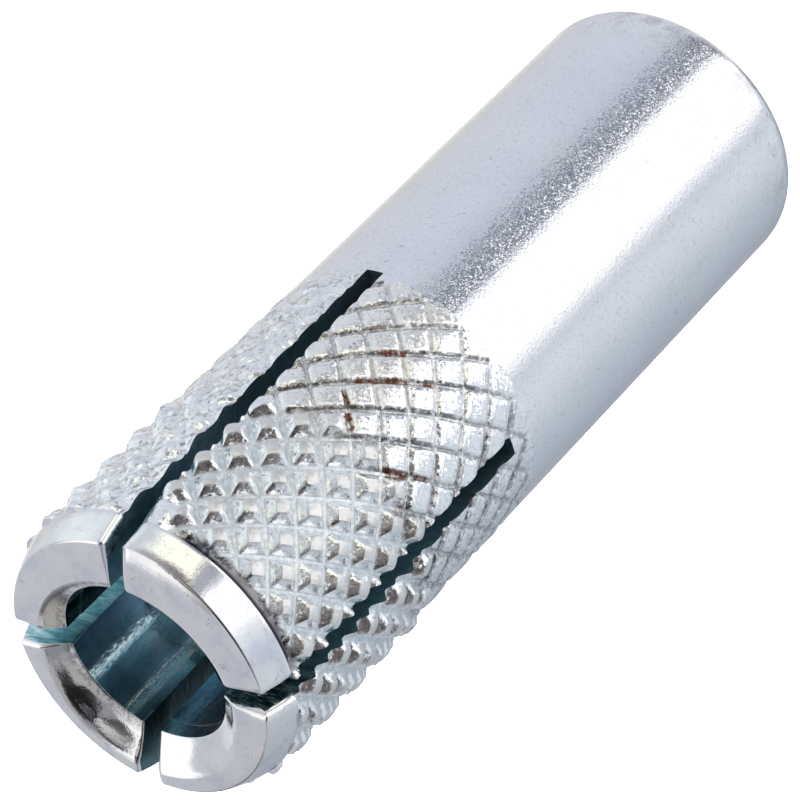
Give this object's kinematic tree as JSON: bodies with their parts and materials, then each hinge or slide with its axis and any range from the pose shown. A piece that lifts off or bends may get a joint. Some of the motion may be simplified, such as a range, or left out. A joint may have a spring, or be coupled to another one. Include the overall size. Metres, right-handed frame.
{
  "type": "expansion anchor",
  "caption": "Knurled drop-in expansion anchor: steel sleeve with an internal thread at one end, slotted leaves at the other, and an expander cone inside.",
  "frame": {"origin": "centre of the rim at the threaded end, on the sleeve's axis", "axes": "+Z along the sleeve's axis, from the threaded end to the slotted end; +X along the first saw cut, in the middle of the cut at the slotted end's rim"},
  "size_m": [0.0166, 0.0166, 0.05],
  "materials": {
    "zinc_plate": "bright zinc plating with a faint blue tint, smooth on the body and sharp in the knurling",
    "hardened_steel": "turned and zinc plated, fine turning marks"
  },
  "bodies": {
    "root": {"sleeve": "zinc_plate", "expander_plug": "hardened_steel"}
  },
  "joints": []
}
